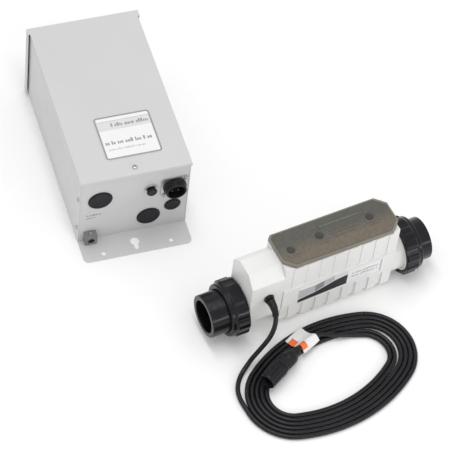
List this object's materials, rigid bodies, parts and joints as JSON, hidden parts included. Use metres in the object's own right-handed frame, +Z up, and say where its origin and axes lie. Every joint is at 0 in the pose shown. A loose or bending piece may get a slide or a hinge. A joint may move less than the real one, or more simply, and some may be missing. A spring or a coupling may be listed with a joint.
{
  "type": "salt chlorine generator",
  "caption": "Pool salt chlorine generator: a sheet-metal power centre lying on its back, and an in-line flow cell with pipe unions, control panel and a coiled lead with its plug.",
  "frame": {"origin": "on the floor, under the middle of the flow cell's housing", "axes": "+X along the flow cell's pipe from inlet to outlet, +Y from the cell towards the power centre behind it, +Z up"},
  "size_m": [0.5638, 0.931, 0.1775],
  "materials": {
    "white_abs": "satin moulded",
    "black_pvc": "glossy moulded",
    "seal_rubber": "matte",
    "panel_face": "satin",
    "button_face": "matte",
    "lamp_lens": "glossy",
    "circuit_board": "satin",
    "coated_titanium": "matte coated",
    "black_plastic": "satin",
    "label_film": "satin film",
    "tag_film": "satin film",
    "cord_jacket": "satin",
    "grey_enamel": "satin powder coat",
    "zinc_steel": "zinc plated",
    "tinned_lug": "satin",
    "core_steel": "varnished laminations",
    "winding": "varnished wire",
    "bare_aluminium": "extruded"
  },
  "bodies": {
    "base": {"cell_housing": "white_abs", "inlet_end_cap": "white_abs", "outlet_collar": "white_abs", "electrode_comb_upper": "white_abs", "electrode_comb_lower": "white_abs", "inlet_tailpiece": "black_pvc", "outlet_tailpiece": "black_pvc", "inlet_o_ring": "seal_rubber", "outlet_o_ring": "seal_rubber", "control_panel": "panel_face", "panel_overlay": "panel_face", "lamp_window": "lamp_lens", "cell_circuit_board": "circuit_board", "power_board": "circuit_board", "electrode_plate_1": "coated_titanium", "electrode_plate_2": "coated_titanium", "electrode_plate_3": "coated_titanium", "electrode_plate_4": "coated_titanium", "flow_switch_body": "black_plastic", "cable_gland": "black_plastic", "cord_plug": "black_plastic", "knockout_plug_left": "black_plastic", "knockout_plug_centre": "black_plastic", "knockout_plug_right": "black_plastic", "breaker_body": "black_plastic", "cell_receptacle": "black_plastic", "rectifier_bridge": "black_plastic", "terminal_block": "black_plastic", "cell_side_label": "label_film", "cord_tag": "tag_film", "cord_lead": "cord_jacket", "cord_coil": "cord_jacket", "cord_tail": "cord_jacket", "enclosure": "grey_enamel", "bottom_panel": "grey_enamel", "side_screw_left_front": "zinc_steel", "side_screw_left_rear": "zinc_steel", "side_screw_right_front": "zinc_steel", "side_screw_right_rear": "zinc_steel", "breaker_nut": "zinc_steel", "receptacle_flange": "zinc_steel", "receptacle_screw_1": "zinc_steel", "receptacle_screw_2": "zinc_steel", "bonding_lug_screw": "zinc_steel", "transformer_frame": "zinc_steel", "bonding_lug": "tinned_lug", "transformer_core": "core_steel", "transformer_winding": "winding", "heat_sink": "bare_aluminium"},
    "cover": {"front_cover": "grey_enamel", "cover_screw": "zinc_steel", "cover_label": "label_film"},
    "inlet_nut": {"inlet_union_nut": "black_pvc"},
    "outlet_nut": {"outlet_union_nut": "black_pvc"},
    "info_key": {"info_button": "button_face"},
    "less_key": {"less_button": "button_face"},
    "more_key": {"more_button": "button_face"},
    "breaker_key": {"breaker_button": "black_plastic"},
    "paddle": {"flow_switch_paddle": "black_plastic"},
    "plug_ring": {"plug_coupling_ring": "black_plastic"}
  },
  "joints": [
    {"name": "cover_tilt", "type": "hinge", "parent": "base", "child": "cover", "pos_m": [-0.20365, 0.61324, 0.004], "axis": [-0.9863, 0.165, 0], "range_deg": [0, 75]},
    {"name": "inlet_nut_turn", "type": "hinge", "parent": "base", "child": "inlet_nut", "pos_m": [-0.197, 0, 0.0545], "axis": [1, 0, 0], "continuous": true},
    {"name": "outlet_nut_turn", "type": "hinge", "parent": "base", "child": "outlet_nut", "pos_m": [0.152, 0, 0.0545], "axis": [1, 0, 0], "continuous": true},
    {"name": "info_button_press", "type": "slide", "parent": "base", "child": "info_key", "axis": [0, 0, -1], "range_m": [0, 0.0006], "stiffness_N_per_m": 1500},
    {"name": "less_button_press", "type": "slide", "parent": "base", "child": "less_key", "axis": [0, 0, -1], "range_m": [0, 0.0006], "stiffness_N_per_m": 1500},
    {"name": "more_button_press", "type": "slide", "parent": "base", "child": "more_key", "axis": [0, 0, -1], "range_m": [0, 0.0006], "stiffness_N_per_m": 1500},
    {"name": "breaker_press", "type": "slide", "parent": "base", "child": "breaker_key", "axis": [0.165, 0.9863, 0], "range_m": [0, 0.003], "stiffness_N_per_m": 900},
    {"name": "flow_paddle_swing", "type": "hinge", "parent": "base", "child": "paddle", "pos_m": [0.092, 0, 0.0795], "axis": [0, -1, 0], "range_deg": [0, 30]},
    {"name": "plug_ring_turn", "type": "hinge", "parent": "base", "child": "plug_ring", "pos_m": [-0.155, -0.1305, 0.0256], "axis": [-0.9031, -0.4295, 0], "continuous": true}
  ]
}
